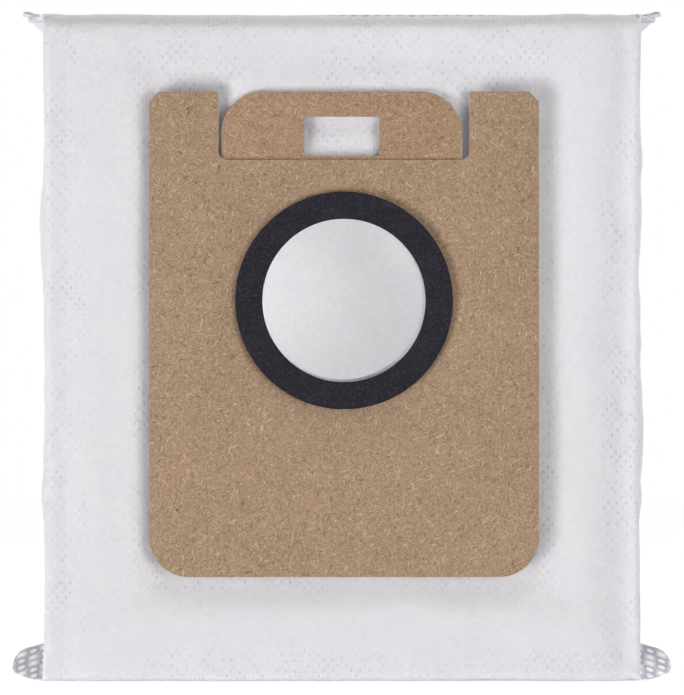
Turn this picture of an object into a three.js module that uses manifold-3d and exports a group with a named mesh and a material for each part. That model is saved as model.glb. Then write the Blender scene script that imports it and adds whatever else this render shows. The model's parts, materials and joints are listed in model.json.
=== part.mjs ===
// Dust bag for the emptying station of a vacuum cleaner: a heat-welded, side-gusseted bag of nonwoven
// filter cloth, glued behind a collar of three kraft cards. A foam ring seals the round inlet to the
// station's duct, and a card shutter between the outer cards is pulled up to close it.
// Millimetres, +Z up, the collar faces -Y. The origin is the middle of the collar's lower edge, on
// which the collar stands in the station's holder.
import * as THREE from 'three';
import { mergeVertices } from 'three/addons/utils/BufferGeometryUtils.js';
import Module from 'manifold-3d';

const arcSteps = 6; // an arc is drawn with twice as many chords
const mergeDistance = 1e-4;

// Collar cards
const collarWidth = 107.5;
const collarHeight = 134;
const topCornerCut = 2.7;
const footRadius = 11;
const frontThickness = 1.0;
const middleThickness = 1.1;
const backThickness = 1.0;
const notchWidth = 69.3;
const notchDepth = 18.9;
const notchRadius = 2.5;

// Round inlet through the cards, and its foam seal
const inletHeight = 76.3;
const inletDiameter = 46;
const sealOuterDiameter = 60;
const sealInnerDiameter = 45;
const sealThickness = 2.6;
const sealEdge = 0.3;
const sealSides = 64;

// Shutter card that slides in the middle card
const shutterThickness = 0.8;
const shutterHoleMargin = 0.5; // radius of its hole beyond the inlet's
const shutterLap = 1.0; // blank card beyond the inlet's edge when closed
const shutterShift = -0.6; // it hangs a little to the left in its channel
const shutterWidth = 76;
const tabWidth = 66.5;
const tabRadius = 11.5;
const tabWindowWidth = 20.7;
const tabWindowHeight = 10.8;
const tabWindowMargin = 1.1; // strip of card between the notch's floor and the window
const tabWindowRadius = 0.8;
const shutterFootRadius = 3;
const channelSideGap = 1.1;
const stopGap = 0.3;
const lipHeight = 10.1; // depth of the two lips that the shutter's shoulders stop under

// Bag
const clothWall = 0.8;
const bagShift = -0.6; // the cloth was welded this far left of the collar's middle
const bagDepth = 52;
const bagHalfWidth = 82.3;
const bagWaist = 0.9; // how far the sides pull in between the ends
const bagCorner = 5;
const glueGap = 0.3; // between the cards and the cloth
const padRise = 3.45; // how far the cloth comes forward to the cards round the inlet
const padFlatRadius = 30;
const padEndRadius = 56;
const crownRise = 2.2; // how far the front panel swells between the collar and the bag's edges
const crownFromEdge = { start: 2, end: 15 };
const crownFromCollar = { start: -4, end: 6 };
const notchSwell = { side: 3, run: 9, below: 2, above: 5, reach: 12 }; // cloth pressed into the collar's notch
const sag = { x: 8, z: 144, depth: 2.5, halfWidth: 26, halfHeight: 7 }; // hollow above the tab
const roofFade = { start: 1, end: 6.5 }; // the swell ends over this much of the roof's depth
const clothHoleDiameter = 44.6;
const clothHoleShift = new THREE.Vector2(-0.5, 0.5);
const creaseDepth = 1.5; // crease down the middle of each side gusset
const creaseFold = 12; // how much further it folds in at the welds
const creaseReach = 42;

// Mesh of the bag: points round a cross-section, and the cross-sections between the welds
const panelSteps = 22;
const sideSteps = 4;
const cornerSteps = 3;
const cornerShare = 0.9; // a corner takes no more than this share of the half depth
const foldShare = 0.6; // nor a crease more than this share of the flat side
const baseAngles = { from: 90, to: 0, count: 4 };
const bodyLevels = 17;
const shoulderAngles = { from: 6, to: 87, count: 8 };
const cleftSteps = 8;
const drillSides = 48;

// Base, folded in along its middle to the lower weld, a flat strip that hangs in the cleft
const weldThickness = 1.6;
const footDrop = 29; // the base below the collar
const baseEdge = 2.8; // radius of the front and back edges of the base
const cleftHeight = 10.8;
const cleftHalfWidth = 15;
const footEar = {
  footHalf: 83.8,
  toeHalf: 88.4,
  toeHeight: 2,
  tipHalf: 91.1,
  tipHeight: 4.1,
  shoulderHalf: 89.3,
  shoulderHeight: 7.6,
  neckHalf: 86.8,
  neckHeight: 9.6,
};

// Upper weld, a flat strip laid back over the top of the bag
const topHeight = 153.2; // of the ridge where the panels meet
const shoulderHeight = 13.5;
const roofPower = 3; // of the superellipse that the panels follow to the ridge, 2 being an ellipse
const headHalf = 88;
const headFlare = 10; // the ends widen to the upper weld over this much of the half depth
const headStripDepth = 9;
const headStripLift = 1.4;
const headRoll = THREE.MathUtils.degToRad(30); // lean of the panels where they roll over the ridge
const headTipCut = 1.2;

const { smoothstep } = THREE.MathUtils;
const wasm = await Module();
wasm.setup();

const frontCardY = -middleThickness / 2 - frontThickness;
const middleCardY = -middleThickness / 2;
const backCardY = middleThickness / 2;
const notchFloor = collarHeight - notchDepth;
const inletRadius = inletDiameter / 2;
const shutterTravel = 2 * inletRadius + shutterHoleMargin + shutterLap;
const shutterFoot = inletHeight - inletRadius - shutterLap - shutterTravel;
const channelFloor = shutterFoot - stopGap;
const channelTop = notchFloor - lipHeight;
const channelWidth = shutterWidth + 2 * channelSideGap;
const shoulderTop = channelTop - stopGap - shutterTravel;

const clothFront = backCardY + backThickness + glueGap;
const panelFront = clothFront + padRise;
const panelBack = panelFront + bagDepth;
const bagMiddle = (panelFront + panelBack) / 2;
const base = -footDrop;
const seamFoot = base + cleftHeight;

// Outline through corners of [x, z, radius], each rounded by an arc that touches both of its sides
function roundedOutline(corners, outline) {
  const point = ([x, z]) => new THREE.Vector2(x, z);
  corners.forEach((spec, i) => {
    const corner = point(spec);
    const radius = spec[2];
    if (!radius) {
      if (i === 0) outline.moveTo(corner.x, corner.y);
      else outline.lineTo(corner.x, corner.y);
      return;
    }
    const toBefore = point(corners.at(i - 1)).sub(corner).normalize();
    const toAfter = point(corners[(i + 1) % corners.length]).sub(corner).normalize();
    const halfAngle = Math.acos(toBefore.dot(toAfter)) / 2;
    const reach = radius / Math.tan(halfAngle);
    const inward = toBefore.clone().add(toAfter).normalize();
    const centre = corner.clone().addScaledVector(inward, radius / Math.sin(halfAngle));
    const start = corner.clone().addScaledVector(toBefore, reach).sub(centre);
    const end = corner.clone().addScaledVector(toAfter, reach).sub(centre);
    const clockwise = toBefore.cross(toAfter) > 0;
    outline.absarc(centre.x, centre.y, radius, start.angle(), end.angle(), clockwise);
  });
  return outline;
}

// Round hole as four quarter arcs
function roundHole(x, z, radius) {
  const hole = new THREE.Path();
  for (let quarter = 0; quarter < 4; quarter += 1) {
    const start = quarter * Math.PI / 2;
    hole.absarc(x, z, radius, start, start + Math.PI / 2, false);
  }
  return hole;
}

// Sheet of one thickness cut to an outline in X and Z, its front face at frontY
function sheet(outline, thickness, frontY) {
  const settings = { depth: thickness, bevelEnabled: false, curveSegments: arcSteps };
  const geometry = new THREE.ExtrudeGeometry(outline, settings);
  geometry.rotateX(Math.PI / 2);
  geometry.translate(0, frontY + thickness, 0);
  return geometry;
}

// Collar's outline from its upper left corner round by the foot to the upper right one
function collarCorners() {
  const half = collarWidth / 2;
  return [
    [-half + topCornerCut, collarHeight, 0],
    [-half, collarHeight - topCornerCut, 0],
    [-half, 0, footRadius],
    [half, 0, footRadius],
    [half, collarHeight - topCornerCut, 0],
    [half - topCornerCut, collarHeight, 0],
  ];
}

// Outer card with the notch that bares the shutter's tab, and the inlet's hole
function outerCard(thickness, frontY) {
  const half = notchWidth / 2;
  const notch = [
    [half, collarHeight, 0],
    [half, notchFloor, notchRadius],
    [-half, notchFloor, notchRadius],
    [-half, collarHeight, 0],
  ];
  const outline = roundedOutline([...collarCorners(), ...notch], new THREE.Shape());
  outline.holes.push(roundHole(0, inletHeight, inletRadius));
  return sheet(outline, thickness, frontY);
}

// Middle card, a frame open at the top that spaces the outer cards and guides the shutter
function spacerCard() {
  const mouth = notchWidth / 2;
  const channel = channelWidth / 2;
  const inner = [
    [mouth, collarHeight, 0],
    [mouth, channelTop, 0],
    [channel, channelTop, 0],
    [channel, channelFloor, shutterFootRadius],
    [-channel, channelFloor, shutterFootRadius],
    [-channel, channelTop, 0],
    [-mouth, channelTop, 0],
    [-mouth, collarHeight, 0],
  ];
  const outline = roundedOutline([...collarCorners(), ...inner], new THREE.Shape());
  return sheet(outline, middleThickness, middleCardY);
}

// Shutter card: open, its hole lies behind the inlet; pulled up, its blank foot does
function shutterCard() {
  const tab = tabWidth / 2;
  const half = shutterWidth / 2;
  const outline = roundedOutline([
    [-tab, collarHeight, tabRadius],
    [-tab, shoulderTop, 0],
    [-half, shoulderTop, 0],
    [-half, shutterFoot, shutterFootRadius],
    [half, shutterFoot, shutterFootRadius],
    [half, shoulderTop, 0],
    [tab, shoulderTop, 0],
    [tab, collarHeight, tabRadius],
  ], new THREE.Shape());
  const window = tabWindowWidth / 2;
  const windowFloor = notchFloor + tabWindowMargin;
  outline.holes.push(roundHole(-shutterShift, inletHeight, inletRadius + shutterHoleMargin));
  outline.holes.push(roundedOutline([
    [-window, windowFloor, tabWindowRadius],
    [window, windowFloor, tabWindowRadius],
    [window, windowFloor + tabWindowHeight, tabWindowRadius],
    [-window, windowFloor + tabWindowHeight, tabWindowRadius],
  ], new THREE.Path()));
  const geometry = sheet(outline, shutterThickness, -shutterThickness / 2);
  geometry.translate(shutterShift, 0, 0);
  return geometry;
}

// Foam ring, turned about the inlet's axis, with its front edges eased
function foamRing() {
  const inner = sealInnerDiameter / 2;
  const outer = sealOuterDiameter / 2;
  const front = frontCardY - sealThickness;
  const profile = [
    [outer, front + sealEdge],
    [outer, frontCardY],
    [inner, frontCardY],
    [inner, front + sealEdge],
    [inner + sealEdge, front],
    [outer - sealEdge, front],
    [outer, front + sealEdge],
  ].map(([radius, y]) => new THREE.Vector2(radius, y));
  const geometry = new THREE.LatheGeometry(profile, sealSides);
  geometry.translate(0, 0, inletHeight);
  return geometry;
}

// Evenly spaced values from one to another, both included
function levels(from, to, count) {
  return Array.from({ length: count }, (_, i) => from + (to - from) * i / (count - 1));
}

// How far the gusset's middle line folds in at a height
function creaseAt(z) {
  const toWeld = Math.min(z - seamFoot, topHeight - z);
  const near = THREE.MathUtils.clamp(1 - toWeld / creaseReach, 0, 1);
  return creaseDepth + creaseFold * near ** 2;
}

// Half the bag's width at a height
function halfWidthAt(z) {
  const middle = (base + topHeight) / 2;
  const away = Math.abs(z - middle) / (topHeight - middle);
  return bagHalfWidth + bagWaist * away ** 4;
}

// How far the front panel stands forward at a point: glued to the cards round the inlet, swollen
// round the collar and into its notch, and sagging above the tab
function forwardAt(x, z) {
  const away = Math.hypot(x, z - inletHeight);
  const pad = padRise * (1 - smoothstep(away, padFlatRadius, padEndRadius));
  const inward = Math.min(bagHalfWidth - Math.abs(x - bagShift), z - base);
  const outward = Math.max(Math.abs(x) - collarWidth / 2, -z, z - collarHeight);
  const crown = crownRise * smoothstep(inward, crownFromEdge.start, crownFromEdge.end)
    * smoothstep(outward, crownFromCollar.start, crownFromCollar.end);
  const hollow = sag.depth * Math.exp(-(((x - sag.x) / sag.halfWidth) ** 2) - ((z - sag.z) / sag.halfHeight) ** 2);
  const inNotch = smoothstep(notchWidth / 2 + notchSwell.side - Math.abs(x), 0, notchSwell.run)
    * smoothstep(z, notchFloor - notchSwell.below, notchFloor + notchSwell.above)
    * (1 - smoothstep(z, collarHeight, collarHeight + notchSwell.reach));
  return THREE.MathUtils.lerp(pad + crown - hollow, padRise, inNotch);
}

// Cross-section of the bag as [x, depth] points, counter-clockwise from the front left corner
function sectionPoints(halfWidth, halfDepth, corner, crease) {
  const radius = Math.min(corner, cornerShare * halfDepth);
  const flatX = halfWidth - radius;
  const flatD = halfDepth - radius;
  const fold = Math.min(crease, foldShare * flatD);
  const points = [];
  const addSide = (side) => {
    for (let i = 1; i < sideSteps; i += 1) {
      const along = -1 + 2 * i / sideSteps;
      points.push([side * (halfWidth - fold * (1 - Math.abs(along))), side * along * flatD]);
    }
  };
  const addCorner = (x, d, start) => {
    for (let i = 0; i <= cornerSteps; i += 1) {
      const angle = start + Math.PI / 2 * i / cornerSteps;
      points.push([x + radius * Math.cos(angle), d + radius * Math.sin(angle)]);
    }
  };
  const addPanel = (side) => {
    for (let i = 1; i < panelSteps; i += 1) {
      points.push([side * flatX * (1 - 2 * i / panelSteps), side * halfDepth]);
    }
  };
  addPanel(-1);
  addCorner(flatX, -flatD, -Math.PI / 2);
  addSide(1);
  addCorner(flatX, flatD, 0);
  addPanel(1);
  addCorner(-flatX, flatD, Math.PI / 2);
  addSide(-1);
  addCorner(-flatX, -flatD, Math.PI);
  return points;
}

// One cross-section in place: its middle at (y, z), its plane leaning back by an angle
function section({ halfWidth, halfDepth, y, z, corner = bagCorner, crease = 0, lean = 0, swollen = false }) {
  return sectionPoints(halfWidth, halfDepth, corner, crease).map(([x, depth]) => {
    const place = new THREE.Vector3(
      x + bagShift,
      y + depth * Math.cos(lean),
      z - depth * Math.sin(lean),
    );
    if (swollen && depth < -halfDepth + corner / 2) {
      const fade = 1 - smoothstep(place.y - panelFront, roofFade.start, roofFade.end);
      place.y -= forwardAt(place.x, place.z) * fade;
    }
    return place;
  });
}

// Closed surface through a row of cross-sections, with a flat cap on the first and the last
function loft(sections) {
  const count = sections[0].length;
  const positions = sections.flat().flatMap((p) => [p.x, p.y, p.z]);
  const index = [];
  for (let ring = 0; ring + 1 < sections.length; ring += 1) {
    for (let i = 0; i < count; i += 1) {
      const a = ring * count + i;
      const b = ring * count + (i + 1) % count;
      index.push(a, b, b + count, a, b + count, a + count);
    }
  }
  const flat = sections[0].map((p) => new THREE.Vector2(p.x, p.y));
  const last = (sections.length - 1) * count;
  THREE.ShapeUtils.triangulateShape(flat, []).forEach(([a, b, c]) => {
    index.push(a, c, b);
    index.push(last + a, last + b, last + c);
  });
  const geometry = new THREE.BufferGeometry();
  geometry.setAttribute('position', new THREE.Float32BufferAttribute(positions, 3));
  geometry.setIndex(index);
  return geometry;
}

// Cross-sections from the base to the ridge, inset by a wall for the hollow
function bodySections(inset) {
  const shoulderFoot = topHeight - shoulderHeight;
  const halfDepth = bagDepth / 2 - inset;
  const edge = baseEdge - inset;
  const shared = { y: bagMiddle, corner: bagCorner - inset };
  const rounded = levels(baseAngles.from, baseAngles.to, baseAngles.count).map((degrees) => {
    const angle = THREE.MathUtils.degToRad(degrees);
    return [base + inset + edge * (1 - Math.sin(angle)), halfDepth - edge * (1 - Math.cos(angle))];
  });
  const upright = levels(base + baseEdge, shoulderFoot, bodyLevels).slice(1).map((z) => [z, halfDepth]);
  const body = [...rounded, ...upright].map(([z, depth]) => section({
    ...shared,
    halfWidth: halfWidthAt(z) - inset,
    halfDepth: depth,
    z,
    crease: creaseAt(z),
    swollen: true,
  }));
  const { from, to, count } = shoulderAngles;
  const shoulders = levels(from, to, count).map((degrees) => {
    const angle = THREE.MathUtils.degToRad(degrees);
    const z = shoulderFoot + (shoulderHeight - inset) * Math.sin(angle) ** (2 / roofPower);
    const depth = halfDepth * Math.cos(angle) ** (2 / roofPower);
    const flare = (headHalf - halfWidthAt(z)) * Math.max(1 - depth / headFlare, 0) ** 2;
    return section({
      ...shared,
      halfWidth: halfWidthAt(z) + flare - inset,
      halfDepth: depth,
      z,
      crease: creaseAt(z),
      swollen: true,
    });
  });
  return [...body, ...shoulders];
}

// Bar along X that the base is folded in around, its two flanks curving up to meet at the weld
function cleft(inset) {
  const flankWidth = cleftHalfWidth - weldThickness / 2 - inset;
  const flankHeight = cleftHeight - inset;
  const profile = new THREE.Shape();
  profile.moveTo(-cleftHalfWidth, base - cleftHeight);
  profile.lineTo(cleftHalfWidth, base - cleftHeight);
  const flank = (side) => levels(0, 1, cleftSteps).map((t) => {
    const angle = t * Math.PI / 2;
    const y = cleftHalfWidth - flankWidth * Math.sin(angle);
    return [side * y, seamFoot - flankHeight * Math.cos(angle)];
  });
  const apex = weldThickness / 2 + inset;
  const points = [...flank(1), [apex, seamFoot + inset], [-apex, seamFoot + inset], ...flank(-1).reverse()];
  points.forEach(([y, z]) => profile.lineTo(y, z));
  const length = 2 * footEar.tipHalf;
  const geometry = new THREE.ExtrudeGeometry(profile, { depth: length, bevelEnabled: false });
  const along = new THREE.Vector3(1, 0, 0);
  const across = new THREE.Vector3(0, 1, 0);
  const up = new THREE.Vector3(0, 0, 1);
  geometry.applyMatrix4(new THREE.Matrix4().makeBasis(across, up, along));
  geometry.translate(bagShift - length / 2, bagMiddle, 0);
  return geometry;
}

// Welded strip in the cleft, wider than the bag, with slanted ends
function footStrip() {
  const rows = [
    [base, footEar.footHalf],
    [base + footEar.toeHeight, footEar.toeHalf],
    [base + footEar.tipHeight, footEar.tipHalf],
    [base + footEar.shoulderHeight, footEar.shoulderHalf],
    [base + footEar.neckHeight, footEar.neckHalf],
    [seamFoot, halfWidthAt(seamFoot)],
    [seamFoot + clothWall / 2, halfWidthAt(seamFoot) - creaseAt(seamFoot)],
  ];
  return rows.map(([z, halfWidth]) => section({
    halfWidth,
    halfDepth: weldThickness / 2,
    y: bagMiddle,
    z,
  }));
}

// Welded strip at the top, laid back flat over the ridge
function headStrip() {
  const halfDepth = weldThickness / 2;
  const z = topHeight + headStripLift;
  const flat = Math.PI / 2;
  return [
    { halfWidth: headHalf, halfDepth, y: bagMiddle, z: topHeight + headStripLift / 2, lean: headRoll },
    { halfWidth: headHalf, halfDepth, y: bagMiddle + headStripLift, z, lean: flat },
    { halfWidth: headHalf - headTipCut, halfDepth, y: bagMiddle + headStripDepth, z, lean: flat },
  ].map(section);
}

function toSolid(geometry) {
  const bare = geometry.clone();
  bare.deleteAttribute('normal');
  bare.deleteAttribute('uv');
  const merged = mergeVertices(bare, mergeDistance);
  return new wasm.Manifold(new wasm.Mesh({
    numProp: 3,
    vertProperties: new Float32Array(merged.attributes.position.array),
    triVerts: new Uint32Array(merged.index.array),
  }));
}

function toGeometry(solid) {
  const mesh = solid.getMesh();
  const geometry = new THREE.BufferGeometry();
  geometry.setAttribute('position', new THREE.BufferAttribute(mesh.vertProperties, 3));
  geometry.setIndex(new THREE.BufferAttribute(mesh.triVerts, 1));
  return geometry;
}

// Hollow bag with its welded strips and the hole behind the collar's inlet
function filterBag() {
  const block = toSolid(loft([...bodySections(0), ...headStrip()]));
  const outside = block.subtract(toSolid(cleft(0))).add(toSolid(loft(footStrip())));
  const hollow = toSolid(loft(bodySections(clothWall))).subtract(toSolid(cleft(clothWall)));
  const drillRadius = clothHoleDiameter / 2;
  const drill = new THREE.CylinderGeometry(drillRadius, drillRadius, 2 * padRise, drillSides);
  drill.translate(clothHoleShift.x, clothFront, inletHeight + clothHoleShift.y);
  return toGeometry(outside.subtract(hollow).subtract(toSolid(drill)));
}

const kraft = { color: 0xa88f77, roughness: 0.85, metalness: 0 };
const finishes = {
  card: kraft,
  innerCard: { ...kraft, color: 0xa3876e },
  foam: { color: 0x2c2a32, roughness: 0.9, metalness: 0 },
  cloth: { color: 0xe6e5ea, roughness: 0.8, metalness: 0 },
};

const dustBag = new THREE.Group();

function addPart(name, geometry, finish) {
  const mesh = new THREE.Mesh(geometry, new THREE.MeshStandardMaterial(finish));
  mesh.name = name;
  dustBag.add(mesh);
}

addPart('filter_bag', filterBag(), finishes.cloth);
addPart('back_card', outerCard(backThickness, backCardY), finishes.card);
addPart('middle_card', spacerCard(), finishes.innerCard);
addPart('shutter_card', shutterCard(), finishes.innerCard);
addPart('front_card', outerCard(frontThickness, frontCardY), finishes.card);
addPart('foam_seal', foamRing(), finishes.foam);

export default dustBag;
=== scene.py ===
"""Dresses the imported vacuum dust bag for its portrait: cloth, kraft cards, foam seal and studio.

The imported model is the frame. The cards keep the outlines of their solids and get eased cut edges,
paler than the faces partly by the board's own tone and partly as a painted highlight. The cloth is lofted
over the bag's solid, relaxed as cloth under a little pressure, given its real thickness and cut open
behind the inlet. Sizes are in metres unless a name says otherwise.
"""

import json
import logging
import math
from dataclasses import dataclass
from enum import Enum
from typing import Sequence

import bmesh
import bpy
import numpy as np
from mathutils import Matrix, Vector, noise

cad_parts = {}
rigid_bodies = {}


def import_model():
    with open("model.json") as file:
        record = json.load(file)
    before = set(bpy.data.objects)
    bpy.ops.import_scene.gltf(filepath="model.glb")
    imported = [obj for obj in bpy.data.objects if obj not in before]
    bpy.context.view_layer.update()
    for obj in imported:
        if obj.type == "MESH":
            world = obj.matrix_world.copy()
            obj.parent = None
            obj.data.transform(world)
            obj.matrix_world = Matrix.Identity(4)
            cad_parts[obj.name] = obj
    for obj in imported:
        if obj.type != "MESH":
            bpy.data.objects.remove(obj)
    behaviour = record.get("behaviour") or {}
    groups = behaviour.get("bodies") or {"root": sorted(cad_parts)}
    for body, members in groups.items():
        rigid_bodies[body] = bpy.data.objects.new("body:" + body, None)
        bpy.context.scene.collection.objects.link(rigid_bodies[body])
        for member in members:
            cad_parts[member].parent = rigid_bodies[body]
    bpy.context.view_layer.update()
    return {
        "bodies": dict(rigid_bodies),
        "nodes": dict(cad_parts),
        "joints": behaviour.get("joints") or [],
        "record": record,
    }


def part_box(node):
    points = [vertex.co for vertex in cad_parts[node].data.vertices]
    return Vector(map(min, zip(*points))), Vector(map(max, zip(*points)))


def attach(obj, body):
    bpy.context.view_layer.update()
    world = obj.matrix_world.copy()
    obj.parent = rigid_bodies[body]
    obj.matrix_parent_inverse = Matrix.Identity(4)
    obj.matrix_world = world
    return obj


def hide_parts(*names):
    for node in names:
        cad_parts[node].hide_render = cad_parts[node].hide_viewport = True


LOG = logging.getLogger("dust_bag")
MM = 0.001
SMOOTH_ANGLE = math.radians(40)

Colour = tuple[float, float, float]


class Body(Enum):
    """The bodies of the frame that the pieces ride on."""

    BAG = "bag"
    SHUTTER = "shutter"


class Side(Enum):
    """The two ends of the bag that are welded."""

    LOWER = "lower"
    UPPER = "upper"


def linear(red: float, green: float, blue: float) -> Colour:
    """Turns a screen colour of 0 to 255 into the linear colour that a shader takes.

    Args:
        red: The red level.
        green: The green level.
        blue: The blue level.

    Returns:
        The linear colour.
    """
    def one(level: float) -> float:
        """Turns one level into its linear value."""
        share = level / 255
        return share / 12.92 if share <= 0.04045 else ((share + 0.055) / 1.055) ** 2.4
    return (one(red), one(green), one(blue))


def smooth(value: np.ndarray, low: float, high: float) -> np.ndarray:
    """Runs smoothly from 0 at low to 1 at high.

    Args:
        value: The values to ramp.
        low: Where the ramp starts.
        high: Where the ramp ends.

    Returns:
        The ramped values.
    """
    share = np.clip((value - low) / (high - low), 0, 1)
    return share * share * (3 - 2 * share)


class Nodes:
    """Builds one shader tree, with short calls for the nodes that the finishes use."""

    def __init__(self, tree: bpy.types.NodeTree) -> None:
        """Keeps the tree that nodes are added to."""
        self.tree = tree

    def add(self, kind: str, **settings: object) -> bpy.types.Node:
        """Adds a node.

        Args:
            kind: The node's type name.
            settings: Properties to set on it.

        Returns:
            The new node.
        """
        node = self.tree.nodes.new(kind)
        for name, value in settings.items():
            setattr(node, name, value)
        return node

    def feed(self, socket: bpy.types.NodeSocket, value: object) -> None:
        """Links a socket into an input, or sets the input to a plain value."""
        if isinstance(value, bpy.types.NodeSocket):
            self.tree.links.new(value, socket)
        else:
            socket.default_value = value

    def math(self, operation: str, *values: object) -> bpy.types.NodeSocket:
        """Adds a Math node.

        Args:
            operation: The node's operation.
            values: Sockets or numbers for its inputs.

        Returns:
            The node's output.
        """
        node = self.add("ShaderNodeMath", operation=operation)
        for socket, value in zip(node.inputs, values):
            self.feed(socket, value)
        return node.outputs[0]

    def ramp(self, value: object, low: float, high: float) -> bpy.types.NodeSocket:
        """Adds a smooth ramp from 0 at low to 1 at high, which may also run downwards."""
        node = self.add("ShaderNodeMapRange", interpolation_type="SMOOTHSTEP")
        turned = low > high
        self.feed(node.inputs["Value"], value)
        node.inputs["From Min"].default_value = min(low, high)
        node.inputs["From Max"].default_value = max(low, high)
        node.inputs["To Min"].default_value = 1.0 if turned else 0.0
        node.inputs["To Max"].default_value = 0.0 if turned else 1.0
        return node.outputs["Result"]

    def split(self, vector: object) -> list[bpy.types.NodeSocket]:
        """Splits a vector into its X, Y and Z."""
        node = self.add("ShaderNodeSeparateXYZ")
        self.feed(node.inputs[0], vector)
        return list(node.outputs)

    def mix(self, share: object, first: object, second: object) -> bpy.types.NodeSocket:
        """Mixes two colours.

        Args:
            share: The share of the second colour.
            first: The first colour.
            second: The second colour.

        Returns:
            The mixed colour.
        """
        node = self.add("ShaderNodeMix", data_type="RGBA")
        self.feed(node.inputs[0], share)
        for socket, value in ((node.inputs[6], first), (node.inputs[7], second)):
            self.feed(socket, (*value, 1.0) if isinstance(value, tuple) else value)
        return node.outputs[2]

    def noise(
        self, place: object, scale: float, detail: float = 2.0, rough: float = 0.5
    ) -> bpy.types.NodeSocket:
        """Adds a Noise texture and returns its value."""
        node = self.add("ShaderNodeTexNoise", noise_dimensions="3D")
        self.feed(node.inputs["Vector"], place)
        node.inputs["Scale"].default_value = scale
        node.inputs["Detail"].default_value = detail
        node.inputs["Roughness"].default_value = rough
        return node.outputs["Fac"]

    def stretched(self, place: object, scale: Sequence[float], turn: float = 0.0) -> bpy.types.NodeSocket:
        """Turns a place in the X-Z plane and then scales it, for a grain that runs one way."""
        turned = self.add("ShaderNodeMapping")
        self.feed(turned.inputs["Vector"], place)
        turned.inputs["Rotation"].default_value = (0.0, turn, 0.0)
        scaled = self.add("ShaderNodeMapping")
        self.feed(scaled.inputs["Vector"], turned.outputs["Vector"])
        scaled.inputs["Scale"].default_value = scale
        return scaled.outputs["Vector"]

    def bump(self, height: object, strength: float, distance: float) -> bpy.types.NodeSocket:
        """Adds a Bump node and returns its normal."""
        node = self.add("ShaderNodeBump")
        node.inputs["Strength"].default_value = strength
        node.inputs["Distance"].default_value = distance
        self.feed(node.inputs["Height"], height)
        return node.outputs["Normal"]


def new_group(
    name: str, vectors: Sequence[str], numbers: Sequence[str], outputs: Sequence[str]
) -> tuple[Nodes, bpy.types.Node, bpy.types.Node]:
    """Makes a shader node group with its sockets.

    Args:
        name: The group's name.
        vectors: Names of its vector inputs.
        numbers: Names of its number inputs.
        outputs: Names of its outputs, which are numbers.

    Returns:
        The builder for the group's tree, its input node and its output node.
    """
    tree = bpy.data.node_groups.new(name, "ShaderNodeTree")
    sockets = [(label, "INPUT", "NodeSocketVector") for label in vectors]
    sockets += [(label, "INPUT", "NodeSocketFloat") for label in numbers]
    sockets += [(label, "OUTPUT", "NodeSocketFloat") for label in outputs]
    for label, in_out, kind in sockets:
        tree.interface.new_socket(name=label, in_out=in_out, socket_type=kind)
    kit = Nodes(tree)
    return kit, kit.add("NodeGroupInput"), kit.add("NodeGroupOutput")


def fibre_group() -> bpy.types.NodeTree:
    """Makes the group of short fibres that lie every way, used for card and cloth.

    Returns:
        The group, which puts out a mask of pale fibres, one of dark fibres and a fine height.
    """
    kit, entry, leave = new_group("short_fibres", ["Vector"], ["Scale"], ["Pale", "Dark", "Height"])
    grown = kit.add("ShaderNodeVectorMath", operation="SCALE")
    kit.feed(grown.inputs[0], entry.outputs["Vector"])
    kit.feed(grown.inputs["Scale"], entry.outputs["Scale"])
    layers = []
    for turn, offset in ((0.35, 0.0), (1.4, 3.7), (2.45, 8.1)):
        moved = kit.add("ShaderNodeVectorMath", operation="ADD")
        kit.feed(moved.inputs[0], grown.outputs["Vector"])
        moved.inputs[1].default_value = (offset, offset, offset)
        place = kit.stretched(moved.outputs["Vector"], (0.28, 1.0, 1.5), turn)
        layers.append(kit.noise(place, 1.0, 1.5, 0.6))
    highest = kit.math("MAXIMUM", kit.math("MAXIMUM", layers[0], layers[1]), layers[2])
    lowest = kit.math("MINIMUM", kit.math("MINIMUM", layers[0], layers[1]), layers[2])
    kit.feed(leave.inputs["Pale"], kit.ramp(highest, 0.64, 0.76))
    kit.feed(leave.inputs["Dark"], kit.ramp(lowest, 0.35, 0.24))
    total = kit.math("ADD", kit.math("ADD", layers[0], layers[1]), layers[2])
    kit.feed(leave.inputs["Height"], kit.math("MULTIPLY", total, 1 / 3))
    return kit.tree


def panel_group() -> bpy.types.NodeTree:
    """Makes the group that unrolls the bag's panels, so that a pattern lies straight on each.

    Returns:
        The group, which puts out the distance across and up the panel at each point.
    """
    kit, entry, leave = new_group("panel_place", ["Place", "Facing"], [], ["Across", "Up"])
    place = kit.split(entry.outputs["Place"])
    sideways, ahead, upward = (kit.math("ABSOLUTE", way) for way in kit.split(entry.outputs["Facing"]))
    on_side = kit.math("GREATER_THAN", sideways, kit.math("MAXIMUM", ahead, upward))
    on_top = kit.math("GREATER_THAN", upward, kit.math("MAXIMUM", ahead, sideways))
    for label, plain, other, chosen in (("Across", 0, 1, on_side), ("Up", 2, 1, on_top)):
        step = kit.math("SUBTRACT", place[other], place[plain])
        moved = kit.math("MULTIPLY_ADD", step, chosen, place[plain])
        kit.feed(leave.inputs[label], moved)
    return kit.tree


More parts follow.
